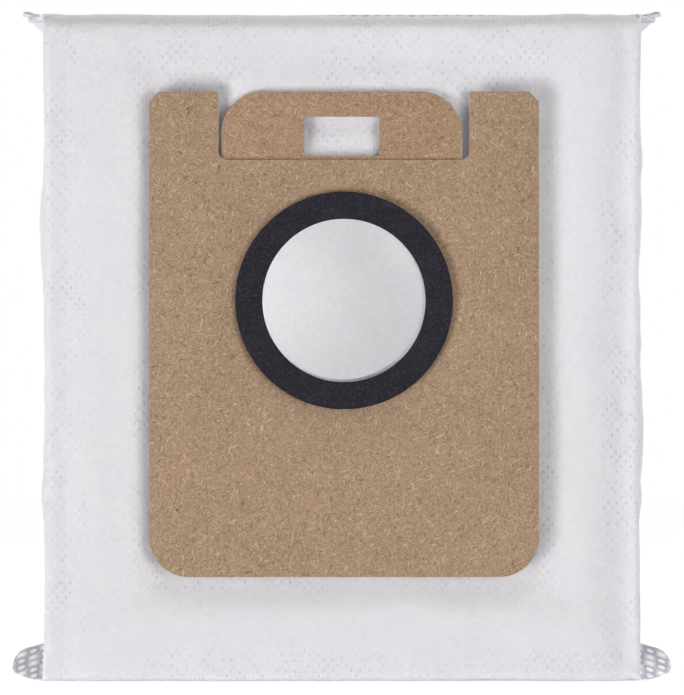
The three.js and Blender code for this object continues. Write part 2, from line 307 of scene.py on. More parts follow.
def bond_group() -> bpy.types.NodeTree:
    """Makes the group of heat-bond points: small ovals in columns, each column half a step off.

    Returns:
        The group, which puts out a mask of the points and the height of the cloth puffed between them.
    """
    inputs = ["Across", "Up", "Column", "Pitch", "Width", "Length"]
    kit, entry, leave = new_group("bond_points", [], inputs, ["Point", "Puff"])
    column = kit.math("DIVIDE", entry.outputs["Across"], entry.outputs["Column"])
    number = kit.math("FLOOR", column)
    across = kit.math("SUBTRACT", kit.math("SUBTRACT", column, number), 0.5)
    odd = kit.math("FLOORED_MODULO", number, 2.0)
    row = kit.math("DIVIDE", entry.outputs["Up"], entry.outputs["Pitch"])
    row = kit.math("MULTIPLY_ADD", odd, 0.5, row)
    up = kit.math("SUBTRACT", kit.math("FRACT", row), 0.5)
    away = []
    for part, pitch, size in ((across, "Column", "Width"), (up, "Pitch", "Length")):
        real = kit.math("MULTIPLY", part, entry.outputs[pitch])
        share = kit.math("DIVIDE", real, kit.math("MULTIPLY", entry.outputs[size], 0.5))
        away.append(kit.math("MULTIPLY", share, share))
    distance = kit.math("ADD", away[0], away[1])
    kit.feed(leave.inputs["Point"], kit.ramp(distance, 1.7, 0.2))
    kit.feed(leave.inputs["Puff"], kit.ramp(distance, 0.1, 4.2))
    return kit.tree


class Groups:
    """The shared node groups, each built once."""

    def __init__(self) -> None:
        """Builds the groups."""
        self.fibres = fibre_group()
        self.panel = panel_group()
        self.bond = bond_group()

    def place(self, kit: Nodes, tree: bpy.types.NodeTree, **inputs: object) -> bpy.types.Node:
        """Puts a group in a material.

        Args:
            kit: The material's builder.
            tree: The group.
            inputs: Sockets or values by input name.

        Returns:
            The group's node.
        """
        node = kit.add("ShaderNodeGroup", node_tree=tree)
        for name, value in inputs.items():
            kit.feed(node.inputs[name], value)
        return node


def new_material(name: str) -> tuple[bpy.types.Material, Nodes, bpy.types.Node]:
    """Makes a material with a Principled shader.

    Args:
        name: The material's name.

    Returns:
        The material, its builder and its Principled node.
    """
    material = bpy.data.materials.new(name)
    material.use_nodes = True
    kit = Nodes(material.node_tree)
    return material, kit, material.node_tree.nodes["Principled BSDF"]


@dataclass(frozen=True)
class KraftFinish:
    """Brown kraft card with loose fibres, and cut edges paler partly by their own tone and partly as a
    painted highlight.
    """

    name: str
    face: Colour
    edge: Colour = linear(216, 205, 192)
    dark_fibre: Colour = linear(104, 80, 60)
    pale_fibre: Colour = linear(194, 170, 141)
    fibre_scale: float = 1500.0
    fine_share: float = 2.3
    mottle_scale: float = 38.0
    mottle: tuple[float, float] = (0.93, 1.04)
    cut_highlight_facing: tuple[float, float] = (0.93, 0.55)
    roughness: float = 0.9

    def material(self, groups: Groups) -> bpy.types.Material:
        """Makes the card's material."""
        material, kit, shader = new_material(self.name)
        where = kit.add("ShaderNodeTexCoord")
        place = where.outputs["Object"]
        fibres = groups.place(kit, groups.fibres, Vector=place, Scale=self.fibre_scale)
        fine = groups.place(kit, groups.fibres, Vector=place, Scale=self.fine_share * self.fibre_scale)
        mottle = kit.noise(place, self.mottle_scale, 3.0, 0.6)
        deep, light = (tuple(share * level for level in self.face) for share in self.mottle)
        colour = kit.mix(kit.ramp(mottle, 0.3, 0.7), deep, light)
        grain = kit.math("MULTIPLY", kit.ramp(fine.outputs["Height"], 0.42, 0.58), 0.34)
        colour = kit.mix(grain, colour, self.pale_fibre)
        colour = kit.mix(kit.math("MULTIPLY", fibres.outputs["Dark"], 0.85), colour, self.dark_fibre)
        colour = kit.mix(kit.math("MULTIPLY", fine.outputs["Dark"], 0.7), colour, self.dark_fibre)
        colour = kit.mix(kit.math("MULTIPLY", fibres.outputs["Pale"], 0.65), colour, self.pale_fibre)
        # The cut edges get the pale edge colour: partly the board's own paler cut, partly a painted highlight
        # along the edges.
        flat = kit.math("ABSOLUTE", kit.split(where.outputs["Normal"])[1])
        cut = kit.ramp(flat, *self.cut_highlight_facing)
        kit.feed(shader.inputs["Base Color"], kit.mix(cut, colour, self.edge))
        rough = kit.math("MULTIPLY_ADD", fine.outputs["Height"], 0.12, self.roughness - 0.06)
        kit.feed(shader.inputs["Roughness"], rough)
        shader.inputs["Specular IOR Level"].default_value = 0.15
        relief = kit.math("MULTIPLY_ADD", fibres.outputs["Height"], 0.6, fine.outputs["Height"])
        kit.feed(shader.inputs["Normal"], kit.bump(relief, 0.5, 0.07 * MM))
        return material


@dataclass(frozen=True)
class FoamFinish:
    """Closed-cell black foam, cut from sheet."""

    name: str
    face: Colour = linear(34, 32, 39)
    tones: tuple[float, float] = (0.45, 2.6)
    cell_scale: float = 1900.0
    grain_scale: float = 1500.0
    patch_scale: float = 160.0
    roughness: float = 0.85

    def material(self, groups: Groups) -> bpy.types.Material:
        """Makes the foam's material."""
        material, kit, shader = new_material(self.name)
        place = kit.add("ShaderNodeTexCoord").outputs["Object"]
        cells = kit.add("ShaderNodeTexVoronoi", feature="F1")
        kit.feed(cells.inputs["Vector"], place)
        cells.inputs["Scale"].default_value = self.cell_scale
        patch = kit.noise(place, self.patch_scale, 3.0, 0.6)
        grain = kit.noise(place, self.grain_scale, 2.0, 0.6)
        dark, light = (tuple(share * level for level in self.face) for share in self.tones)
        colour = kit.mix(kit.ramp(cells.outputs["Distance"], 0.1, 0.6), dark, self.face)
        colour = kit.mix(kit.math("MULTIPLY", kit.ramp(grain, 0.5, 0.72), 0.6), colour, light)
        colour = kit.mix(kit.math("MULTIPLY", kit.ramp(patch, 0.45, 0.7), 0.15), colour, light)
        kit.feed(shader.inputs["Base Color"], colour)
        rough = kit.math("MULTIPLY_ADD", patch, 0.12, self.roughness - 0.06)
        kit.feed(shader.inputs["Roughness"], rough)
        shader.inputs["Specular IOR Level"].default_value = 0.12
        relief = kit.math("MULTIPLY_ADD", grain, 0.8, cells.outputs["Distance"])
        kit.feed(shader.inputs["Normal"], kit.bump(relief, 0.7, 0.2 * MM))
        return material


@dataclass(frozen=True)
class ClothFinish:
    """White nonwoven filter cloth with rows of heat-bond points."""

    name: str
    face: Colour = linear(245, 241, 255)
    point: Colour = linear(205, 203, 212)
    # Colour in the weld strips' pressed grooves: partly the pressed cloth's own tone, partly painted shade in
    # the grooves.
    groove: Colour = linear(156, 156, 162)
    column: float = 1.27 * MM
    pitch: float = 2.9 * MM
    point_width: float = 0.62 * MM
    point_length: float = 0.98 * MM
    fibre_scale: float = 1500.0
    roughness: float = 0.9
    fuzz_scale: float = 620.0
    cloud_scale: float = 70.0
    through: float = 0.95
    depth: float = 3.2 * MM
    edge_band: tuple[float, float] = (68 * MM, 74 * MM)
    low_band: tuple[float, float] = (-16 * MM, -24 * MM)
    high_band: tuple[float, float] = (112 * MM, 132 * MM)
    collar_side: tuple[float, float] = (61 * MM, 56 * MM)
    collar_foot: tuple[float, float] = (-7 * MM, -1 * MM)
    back_band: tuple[float, float] = (20 * MM, 30 * MM)
    side_band: tuple[float, float] = (45 * MM, 40 * MM)
    bonded: bool = True
    groove_shaded: bool = False

    def bond_and_shade_mask(
        self, kit: Nodes, place: bpy.types.NodeSocket, facing: bpy.types.NodeSocket
    ) -> bpy.types.NodeSocket:
        """Finds where the points show: along the bag's edges, round the collar and on the back.

        The points' darker colour there is partly the cloth's real bond pattern, partly painted shade where
        the panel turns away at its edges and where the collar's shadow falls.

        Args:
            kit: The material's builder.
            place: The Object coordinates.
            facing: The surface's normal.

        Returns:
            The mask.
        """
        x, y, z = kit.split(place)
        across = kit.math("ABSOLUTE", x)
        beside = kit.ramp(across, *self.edge_band)
        low = kit.math("MULTIPLY", kit.ramp(z, *self.low_band), 0.8)
        high = kit.math("MULTIPLY", kit.ramp(z, *self.high_band), 0.45)
        collar = kit.math("MULTIPLY", kit.ramp(across, *self.collar_side), kit.ramp(z, *self.collar_foot))
        outside = kit.ramp(kit.split(facing)[1], -0.2, 0.2)
        behind = kit.math("MULTIPLY", kit.ramp(y, *self.back_band), outside)
        shown = kit.math("MAXIMUM", kit.math("MAXIMUM", beside, low), kit.math("MAXIMUM", high, collar))
        within = kit.math("MULTIPLY", kit.ramp(y, *self.side_band), kit.ramp(shown, 0.0, 1.0))
        return kit.math("MULTIPLY_ADD", kit.math("MAXIMUM", within, behind), 0.92, 0.08)

    def material(self, groups: Groups) -> bpy.types.Material:
        """Makes the cloth's material."""
        material, kit, shader = new_material(self.name)
        where = kit.add("ShaderNodeTexCoord")
        place = where.outputs["Object"]
        panel = groups.place(kit, groups.panel, Place=place, Facing=where.outputs["Normal"])
        waver = kit.noise(place, 120.0, 3.0)
        waver = kit.math("MULTIPLY", kit.math("SUBTRACT", waver, 0.5), 1.5 * MM)
        points = groups.place(
            kit,
            groups.bond,
            Across=kit.math("ADD", panel.outputs["Across"], waver),
            Up=kit.math("ADD", panel.outputs["Up"], waver),
            Column=self.column,
            Pitch=self.pitch,
            Width=self.point_width,
            Length=self.point_length,
        )
        patch = kit.ramp(kit.noise(place, 60.0, 3.0), 0.38, 0.62)
        keep = kit.ramp(kit.noise(place, 430.0, 2.0), 0.4, 0.6)
        # The mask keeps the darker points to bands: partly the real bond pattern, partly painted shade at the
        # turned-away edges and round the collar's shadow.
        bonded = self.bond_and_shade_mask(kit, place, where.outputs["Normal"]) if self.bonded else 0.0
        strength = kit.math("MULTIPLY", kit.math("MULTIPLY_ADD", patch, 0.75, 0.25), keep)
        strength = kit.math("MULTIPLY", strength, bonded)
        point = kit.math("MULTIPLY", points.outputs["Point"], strength)
        puff = kit.math("MULTIPLY", points.outputs["Puff"], strength)
        fibres = groups.place(kit, groups.fibres, Vector=place, Scale=self.fibre_scale)
        cloud = kit.noise(place, self.cloud_scale, 4.0, 0.6)
        deep = tuple(0.95 * level for level in self.face)
        fuzz = kit.noise(place, self.fuzz_scale, 3.0, 0.65)
        mottle = kit.math("MULTIPLY_ADD", fuzz, 0.55, kit.math("MULTIPLY", cloud, 0.45))
        colour = kit.mix(kit.ramp(mottle, 0.36, 0.62), deep, self.face)
        colour = kit.mix(kit.math("MULTIPLY", fibres.outputs["Dark"], 0.2), colour, self.point)
        colour = kit.mix(kit.math("MULTIPLY", point, 0.8), colour, self.point)
        # The groove attribute darkens the weld: painted shade in the grooves and on the ears, with some of
        # the pressed cloth's own tone.
        if self.groove_shaded:
            pressed = kit.add("ShaderNodeAttribute", attribute_name="groove")
            colour = kit.mix(kit.ramp(pressed.outputs["Fac"], 0.1, 0.95), colour, self.groove)
        kit.feed(shader.inputs["Base Color"], colour)
        rough = kit.math("MULTIPLY_ADD", point, -0.18, self.roughness)
        kit.feed(shader.inputs["Roughness"], rough)
        shader.inputs["Specular IOR Level"].default_value = 0.2
        shader.inputs["Subsurface Weight"].default_value = self.through
        shader.inputs["Subsurface Radius"].default_value = (1.0, 1.0, 1.0)
        shader.inputs["Subsurface Scale"].default_value = self.depth
        shader.inputs["Sheen Weight"].default_value = 0.08
        shader.inputs["Sheen Roughness"].default_value = 0.6
        relief = kit.math("MULTIPLY_ADD", fibres.outputs["Height"], 0.5, kit.math("ADD", cloud, fuzz))
        relief = kit.math("MULTIPLY_ADD", puff, 1.1, kit.math("MULTIPLY", relief, 0.55))
        kit.feed(shader.inputs["Normal"], kit.bump(relief, 0.7, 0.2 * MM))
        return material


def dress(piece: bpy.types.Object, material: bpy.types.Material) -> None:
    """Gives a piece one material, in place of any that it has."""
    piece.data.materials.clear()
    piece.data.materials.append(material)


def pick(piece: bpy.types.Object) -> None:
    """Makes a piece the only one that is selected, and the active one."""
    bpy.ops.object.select_all(action="DESELECT")
    piece.select_set(True)
    bpy.context.view_layer.objects.active = piece


def apply_all(piece: bpy.types.Object) -> None:
    """Applies every modifier of a piece, in order."""
    pick(piece)
    for modifier in list(piece.modifiers):
        bpy.ops.object.modifier_apply(modifier=modifier.name)


def settle(piece: bpy.types.Object) -> None:
    """Puts a piece's place, turn and size into its mesh."""
    pick(piece)
    bpy.ops.object.transform_apply(location=True, rotation=True, scale=True)


def points_of(piece: bpy.types.Object) -> np.ndarray:
    """Reads a piece's points, one row of X, Y and Z for each."""
    return np.array([vertex.co for vertex in piece.data.vertices])


def move_points(piece: bpy.types.Object, points: np.ndarray) -> None:
    """Moves a piece's points to new places."""
    piece.data.vertices.foreach_set("co", points.astype(np.float32).ravel())
    piece.data.update()


def ease_edges(piece: bpy.types.Object, width: float, steps: int, angle: float) -> None:
    """Rounds the edges of a piece that are sharper than an angle, and shades the rest smooth.

    Args:
        piece: The piece.
        width: The width of the rounding.
        steps: Its number of faces across.
        angle: The angle, in radians.
    """
    bevel = piece.modifiers.new("eased_edge", "BEVEL")
    bevel.width = width
    bevel.segments = steps
    bevel.limit_method = "ANGLE"
    bevel.angle_limit = angle
    apply_all(piece)
    bpy.ops.object.shade_smooth_by_angle(angle=SMOOTH_ANGLE)


def hand_over(
    piece: bpy.types.Object, material: bpy.types.Material, body: Body, node: str
) -> None:
    """Dresses a piece, puts it on the body that carries it, and hides the solid that it stands for.

    Args:
        piece: The piece.
        material: Its material.
        body: The body that carries it.
        node: The solid that it stands for.
    """
    dress(piece, material)
    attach(piece, body.value)
    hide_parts(node)


def mesh_piece(name: str, points: np.ndarray, faces: Sequence[Sequence[int]]) -> bpy.types.Object:
    """Makes a piece from points and faces, with coinciding points merged and faces outwards.

    Args:
        name: The piece's name.
        points: One row of X, Y and Z for each point.
        faces: Point numbers of each face.

    Returns:
        The piece, linked to the scene.
    """
    mesh = bpy.data.meshes.new(name)
    mesh.from_pydata([tuple(p) for p in points], [], [list(f) for f in faces])
    shape = bmesh.new()
    shape.from_mesh(mesh)
    bmesh.ops.remove_doubles(shape, verts=shape.verts, dist=0.005 * MM)
    bmesh.ops.dissolve_degenerate(shape, edges=shape.edges, dist=0.002 * MM)
    bmesh.ops.recalc_face_normals(shape, faces=shape.faces)
    shape.to_mesh(mesh)
    shape.free()
    piece = bpy.data.objects.new(name, mesh)
    bpy.context.scene.collection.objects.link(piece)
    return piece


@dataclass
class Card:
    """One card of the collar, from the outline of its solid, with eased edges."""

    node: str
    name: str
    body: Body
    finish: KraftFinish
    edge: float = 0.22 * MM
    edge_steps: int = 2
    flat_angle: float = math.radians(0.5)

    def build(self, frame: dict, groups: Groups) -> bpy.types.Object:
        """Builds and dresses the card.

        Args:
            groups: The shared node groups.

        Returns:
            The card.
        """
        solid = frame["nodes"][self.node]
        piece = bpy.data.objects.new(self.name, solid.data.copy())
        bpy.context.scene.collection.objects.link(piece)
        pick(piece)
        bpy.ops.object.mode_set(mode="EDIT")
        bpy.ops.mesh.select_all(action="SELECT")
        bpy.ops.mesh.remove_doubles(threshold=0.001 * MM)
        bpy.ops.mesh.dissolve_limited(angle_limit=self.flat_angle)
        bpy.ops.object.mode_set(mode="OBJECT")
        ease_edges(piece, self.edge, self.edge_steps, SMOOTH_ANGLE)
        hand_over(piece, self.finish.material(groups), self.body, self.node)
        return piece


@dataclass
class FoamSeal:
    """Foam ring round the inlet."""

    sides: int = 160
    edge: float = 0.4 * MM
    edge_steps: int = 3
    sharp_angle: float = math.radians(50)
    inner_share: float = 45 / 60

    def build(self, groups: Groups) -> bpy.types.Object:
        """Builds and dresses the ring, from a disc that is pierced and eased."""
        low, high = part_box("foam_seal")
        middle = (low + high) / 2
        radius = (high.x - low.x) / 2
        bpy.ops.object.select_all(action="DESELECT")
        bpy.ops.mesh.primitive_cylinder_add(
            vertices=self.sides,
            radius=radius,
            depth=high.y - low.y,
            end_fill_type="NGON",
            location=middle,
            rotation=(math.pi / 2, 0.0, 0.0),
        )
        ring = bpy.context.object
        ring.name = "foam_ring"
        settle(ring)
        shape = bmesh.new()
        shape.from_mesh(ring.data)
        ends = [face for face in shape.faces if len(face.verts) == self.sides]
        rims = []
        for face in ends:
            bmesh.ops.inset_region(shape, faces=[face], thickness=radius * (1 - self.inner_share))
            rims += list(face.edges)
        bmesh.ops.delete(shape, geom=ends, context="FACES_ONLY")
        bmesh.ops.bridge_loops(shape, edges=[edge for edge in rims if edge.is_valid])
        bmesh.ops.recalc_face_normals(shape, faces=shape.faces)
        shape.to_mesh(ring.data)
        shape.free()
        ease_edges(ring, self.edge, self.edge_steps, self.sharp_angle)
        hand_over(ring, FoamFinish("black_foam").material(groups), Body.BAG, "foam_seal")
        return ring


@dataclass
class BagForm:
    """Sizes of the cloth bag, worked out from the frame's boxes and the bag's own folds."""

    corner: float = 2.6 * MM
    waist: float = 0.9 * MM
    half_width: float = 82.3 * MM
    shift: float = -0.6 * MM
    base_edge: float = 2.6 * MM
    cleft_height: float = 10.8 * MM
    cleft_half: float = 15.0 * MM
    weld: float = 1.6 * MM
    crease: float = 1.5 * MM
    crease_fold: float = 12.0 * MM
    crease_reach: float = 42.0 * MM
    fold_cap: float = 0.6
    shoulder: float = 11.0 * MM
    roof_power: float = 4.0
    roof_dip: float = 1.3 * MM
    roof_dip_half: float = 14.0 * MM
    head_half: float = 88.0 * MM
    head_flare: float = 10.0 * MM
    crest_rise: float = 0.5 * MM
    pad_rise: float = 3.45 * MM
    pad_flat: float = 30.0 * MM
    pad_end: float = 56.0 * MM
    hole_radius: float = 22.3 * MM
    hole_shift: tuple[float, float] = (-0.5 * MM, 0.5 * MM)
    wall: float = 0.5 * MM

    def __post_init__(self) -> None:
        """Reads the bag's and the seal's places from the frame."""
        low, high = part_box("filter_bag")
        seal_low, seal_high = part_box("foam_seal")
        card_low, card_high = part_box("back_card")
        self.cloth_front = low.y
        self.panel_front = low.y + self.pad_rise
        self.panel_back = high.y
        self.base = low.z
        self.crest = high.z + self.crest_rise
        self.ridge = self.crest - self.roof_dip
        self.middle = (self.panel_front + self.panel_back) / 2
        self.half_depth = (self.panel_back - self.panel_front) / 2
        self.seam = self.base + self.cleft_height
        self.inlet = (seal_low + seal_high) / 2
        self.card_low, self.card_high = card_low, card_high

    def roof_at(self, depth: np.ndarray) -> np.ndarray:
        """Gives the height of the roof at a distance from the bag's middle plane."""
        share = np.clip(np.abs(depth) / self.half_depth, 0, 1)
        dome = self.shoulder * (1 - share**self.roof_power) ** (1 / self.roof_power)
        dip = self.roof_dip * np.clip(1 - np.abs(depth) / self.roof_dip_half, 0, 1) ** 2
        return self.crest - self.shoulder + dome - dip

    def half_width_at(self, z: float) -> float:
        """Gives half the bag's width at a height."""
        middle = (self.base + self.ridge) / 2
        away = abs(z - middle) / (self.ridge - middle)
        return self.half_width + self.waist * away**4

    def crease_at(self, z: float) -> float:
        """Gives how far the gusset's middle line folds in at a height."""
        near = 1 - min(z - self.seam, self.ridge - z) / self.crease_reach
        near = min(max(near, 0.0), 1.0)
        return self.crease + self.crease_fold * near**2

    def arch_at(self, depth: float) -> float:
        """Gives the height of the base at a distance from the bag's middle plane."""
        run = (self.cleft_half - abs(depth)) / (self.cleft_half - self.weld / 2)
        run = min(max(run, 0.0), 1.0)
        return self.seam - self.cleft_height * math.sqrt(1 - run**2)

    def side_at(self, depth: float, z: float, flat: float) -> float:
        """Gives the side wall's distance from the bag's middle at a depth and height."""
        fold = min(self.crease_at(z), self.fold_cap * flat)
        share = 1 - abs(depth) / flat
        return self.half_width_at(z) - fold * max(share, 0.0)


@dataclass
class ClothBag:
    """The welded cloth: a loft over the bag's solid, relaxed as cloth and cut at the inlet."""

    form: BagForm
    panel_steps: int = 52
    corner_steps: int = 4
    body_levels: int = 50
    side_depths: tuple[float, ...] = (2.6, 5.0, 8.0, 11.5, 15.0, 18.6)
    roof_steps: tuple[float, ...] = (
        0.9994, 0.996, 0.985, 0.962, 0.923, 0.862, 0.777, 0.673,
        0.558, 0.442, 0.327, 0.23, 0.154, 0.088, 0.031,
    )
    base_edge_levels: int = 3
    base_reach: float = 26.0 * MM
    frames: int = 22
    reach_cap: float = 3.2 * MM
    back_room: float = 1.0 * MM
    crown: float = 2.2 * MM
    crown_start: tuple[float, float] = (2 * MM, 12 * MM)
    crown_edge: tuple[float, float] = (2 * MM, 15 * MM)
    crown_left: float = 5 * MM
    crown_below: float = 1 * MM
    shutter_gap: float = 0.9 * MM
    notch_half: float = 33.2 * MM
    notch_floor: float = 117.0 * MM
    card_margin: float = 1.0 * MM
    fold_ridge: float = 0.35 * MM
    fold_ridge_width: float = 1.3 * MM
    fold_groove: float = 0.9 * MM
    fold_groove_in: float = 5.2 * MM
    fold_groove_width: float = 2.8 * MM
    fold_end: tuple[float, float] = (4 * MM, 14 * MM)
    top_lean: float = 0.3 * MM
    top_lean_run: tuple[float, float] = (22 * MM, 3 * MM)
    notch_puff: float = 3.45 * MM
    notch_side: tuple[float, float] = (16 * MM, 9 * MM)
    notch_below: tuple[float, float] = (11 * MM, 3 * MM)
    notch_above: float = 12 * MM
    sag: float = 2.6 * MM
    sag_place: tuple[float, float] = (9 * MM, 142 * MM)
    sag_size: tuple[float, float] = (25 * MM, 6.5 * MM)
    crease_depth: float = 0.9 * MM
    crease_width: float = 1.7 * MM
    creases: tuple[tuple[tuple[float, float], tuple[float, float]], ...] = (
        ((-82.5 * MM, -25.5 * MM), (-75.5 * MM, -20.0 * MM)),
        ((82.0 * MM, -25.5 * MM), (73.0 * MM, -18.5 * MM)),
    )
    broad: float = 0.55 * MM
    broad_scale: float = 26 * MM
    small: float = 0.14 * MM
    small_scale: float = 5.5 * MM
    upright: float = 0.3 * MM
    upright_scale: float = 5.0 * MM
    upright_reach: float = 14 * MM
    upright_stretch: float = 0.12
    upright_inside: float = 0.35
    front_fade: tuple[float, float] = (0.5 * MM, 6 * MM)
    glue_hold: float = 8 * MM
    base_hold: tuple[float, float] = (8 * MM, 14 * MM)
    base_share: float = 0.9
    ridge_hold: tuple[float, float] = (3 * MM, 0.5 * MM)
    corner_hold: tuple[float, float] = (6 * MM, 1 * MM)
    corner_depth: float = 4.5 * MM
    corner_share: float = 0.75
    collar_beside: tuple[float, float] = (60 * MM, 72 * MM)
    collar_below: tuple[float, float] = (-16 * MM, -6 * MM)
    collar_above: tuple[float, float] = (146 * MM, 152 * MM)
    collar_share: float = 0.97
    hole_sides: int = 128
    punch_depth: float = 12 * MM
    shade_angle: float = math.radians(50)

    def depths(self) -> list[float]:
        """Lists the depths of the side wall's points, from front to back, denser at the crease."""
        flat = self.form.half_depth - self.form.corner
        half = [self.form.weld / 2, *(depth * MM for depth in self.side_depths), flat]
        return [-d for d in reversed(half)] + half

    def ring(self, half_width: float, half_depth: float, z: float, fold: float) -> np.ndarray:
        """Places one level cross-section of the bag.

        Args:
            half_width: Half its width.
            half_depth: Half its depth.
            z: Its height.
            fold: How far its side creases fold in.

        Returns:
            Its points, from the front panel's left end round by the right side.
        """
        form = self.form
        radius = min(form.corner, 0.9 * half_depth)
        flat_x = half_width - radius
        flat_d = half_depth - radius
        full = form.half_depth - form.corner
        fold = min(fold, form.fold_cap * flat_d)
        across = np.linspace(-1, 1, self.panel_steps + 1)
        angles = np.linspace(0, math.pi / 2, self.corner_steps + 1)[1:]
        side = [(half_width - fold * (1 - abs(d) / full), d / full * flat_d) for d in self.depths()]
        front = [(x * flat_x, -half_depth) for x in across]
        turn_front = [(flat_x + radius * math.sin(a), -flat_d - radius * math.cos(a)) for a in angles[:-1]]
        turn_back = [(flat_x + radius * math.cos(a), flat_d + radius * math.sin(a)) for a in angles[:-1]]
        half = front + turn_front + side + turn_back
        points = half + [(-x, -d) for x, d in half]
        return np.array([(form.shift + x, form.middle + d, z) for x, d in points])

    def levels(self) -> list[np.ndarray]:
        """Lists the closed cross-sections from the base's edge to the ridge."""
        form = self.form
        start = form.base + form.base_edge
        rings = []
        for z in np.linspace(start, form.crest - form.shoulder, self.body_levels):
            rings.append(self.ring(form.half_width_at(z), form.half_depth, z, form.crease_at(z)))
        for share in self.roof_steps:
            depth = share * form.half_depth
            z = float(form.roof_at(np.array(depth)))
            near_seam = max(1 - depth / form.head_flare, 0.0)
            flare = (form.head_half - form.half_width_at(z)) * near_seam**2
            rings.append(self.ring(form.half_width_at(z) + flare, depth, z, form.crease_at(z)))
        return rings

    def lower_side(self, ring: np.ndarray, lift: float) -> np.ndarray:
        """Moves a low ring's side wall down to the base's arch, by a share of the way."""
        form = self.form
        moved = ring.copy()
        depth = np.abs(ring[:, 1] - form.middle)
        flat = form.half_depth - form.corner
        beside = 1 - smooth(depth, flat, form.half_depth)
        arch = np.array([form.arch_at(d) for d in depth])
        moved[:, 2] += lift * beside * (arch - (form.base + form.base_edge))
        return moved

    def outline(self) -> tuple[np.ndarray, list[tuple[int, ...]]]:
        """Builds the closed cloth surface: rings, rounded base edges and the folded base.

        Returns:
            Points and faces.
        """
        form = self.form
        rings = self.levels()
        start = rings[0][0, 2]
        end = start + self.base_reach
        rings = [self.lower_side(r, float(1 - smooth(np.array(r[0, 2]), start, end))) for r in rings]
        count = len(rings[0])
        points = list(np.concatenate(rings))
        faces = []
        for first in range(0, (len(rings) - 1) * count, count):
            for i in range(count):
                beyond = (i + 1) % count
                faces.append((first + i, first + beyond, first + count + beyond, first + count + i))
        top = (len(rings) - 1) * count
        half = count // 2
        sheet = self.panel_steps + 1 + 2 * self.corner_steps
        lead = self.corner_steps - 1
        for turn in (0, half):
            order = [(turn - lead - 1 + i) % count for i in range(sheet)]
            faces += self.base_sheet([rings[0][i] for i in order], order, points)
        closing = [top + i for i in range(self.panel_steps + 1)]
        opposite = [top + (half + self.panel_steps - i) % count for i in range(self.panel_steps + 1)]
        faces += [(closing[i], closing[i + 1], opposite[i + 1], opposite[i]) for i in range(self.panel_steps)]
        for turn in (0, half):
            ends = [top + (turn + self.panel_steps + i) % count for i in range(half - self.panel_steps + 1)]
            while len(ends) > 3:
                faces.append((ends[0], ends[1], ends[-2], ends[-1]))
                ends = ends[1:-1]
            if len(ends) == 3:
                faces.append(tuple(ends))
        return np.array(points), faces

    def base_sheet(
        self, edge: list[np.ndarray], order: list[int], points: list[np.ndarray]
    ) -> list[tuple[int, ...]]:
        """Builds one half of the base, from the panel's lower edge round and up into the cleft.

        Args:
            edge: The panel's lower edge, from side wall to side wall.
            order: Point numbers of that edge.
            points: All points, which grows by the base's own.

        Returns:
            The base's faces.
        """
        form = self.form
        flat = form.half_depth - form.corner
        way = 1.0 if edge[len(edge) // 2][1] > form.middle else -1.0
        sense = 1.0 if edge[-1][0] > edge[0][0] else -1.0
        rows = [order]
        run = np.linspace(-1, 1, len(edge))
        for step in range(1, self.base_edge_levels + 1):
            angle = math.pi / 2 * step / self.base_edge_levels
            row = []
            for point in edge:
                drop = point[2] - form.base
                inward = Vector((form.shift - point[0], 0)).normalized().x
                share = min(max((abs(point[1] - form.middle) - flat) / form.corner, 0.0), 1.0)
                slide = drop * (1 - math.cos(angle))
                x = point[0] + inward * slide * (1 - share)
                y = point[1] - way * slide * share
                row.append(len(points))
                points.append(np.array((x, y, form.base + drop * (1 - math.sin(angle)))))
            rows.append(row)
        for depth in [d for d in reversed(self.depths()) if d > 0]:
            z = form.arch_at(depth)
            side = form.side_at(depth, z, flat)
            row = []
            for share in run:
                row.append(len(points))
                points.append(np.array((form.shift + sense * share * side, form.middle + way * depth, z)))
            rows.append(row)
        return [
            (above[i + 1], above[i], below[i], below[i + 1])
            for above, below in zip(rows, rows[1:])
            for i in range(len(edge) - 1)
        ]

    def forward(self, x: np.ndarray, z: np.ndarray) -> np.ndarray:
        """Gives how far the front panel stands forward of its flat place.

        Args:
            x: The points' places across the panel.
            z: Their heights.

        Returns:
            The rise to the glued ring, the crown round the collar, the folds and the sag above the tab.
        """
        form = self.form
        away = np.hypot(x - form.inlet.x, z - form.inlet.z)
        rise = form.pad_rise * (1 - smooth(away, form.pad_flat, form.pad_end))
        to_side = form.half_width - np.abs(x - form.shift)
        to_edge = np.minimum(to_side, z - form.base)
        low, high = form.card_low, form.card_high
        outside = np.maximum(
            np.maximum(low.x - x + self.crown_left, x - high.x),
            np.maximum(low.z - z + self.crown_below, z - high.z),
        )
        crown = self.crown * smooth(to_edge, *self.crown_edge) * smooth(outside, *self.crown_start)
        fold = self.fold_ridge * np.exp(-((to_side / self.fold_ridge_width) ** 2))
        fold -= self.fold_groove * np.exp(-(((to_side - self.fold_groove_in) / self.fold_groove_width) ** 2))
        fold *= smooth(form.crest - z, *self.fold_end)
        sag_x, sag_z = self.sag_place
        sag = np.exp(-(((x - sag_x) / self.sag_size[0]) ** 2) - ((z - sag_z) / self.sag_size[1]) ** 2)
        lean_start, lean_end = self.top_lean_run
        lean = self.top_lean * smooth(z, form.crest - lean_start, form.crest - lean_end)
        total = rise + crown + fold - self.sag * sag - lean
        notch_in, notch_run = self.notch_side
        near_notch = smooth(high.x - notch_in - np.abs(x), 0, notch_run)
        notch_low, notch_full = self.notch_below
        near_notch *= smooth(z, high.z - notch_low, high.z - notch_full)
        near_notch *= 1 - smooth(z, high.z, high.z + self.notch_above)
        total += (self.notch_puff - total) * near_notch
        for (x0, z0), (x1, z1) in self.creases:
            run = np.array([x1 - x0, z1 - z0])
            length = float(np.hypot(*run))
            along = np.clip(((x - x0) * run[0] + (z - z0) * run[1]) / length**2, 0, 1)
            off = np.hypot(x - x0 - along * run[0], z - z0 - along * run[1])
            total -= self.crease_depth * np.exp(-((off / self.crease_width) ** 2)) * (1 - 0.6 * along)
        return total

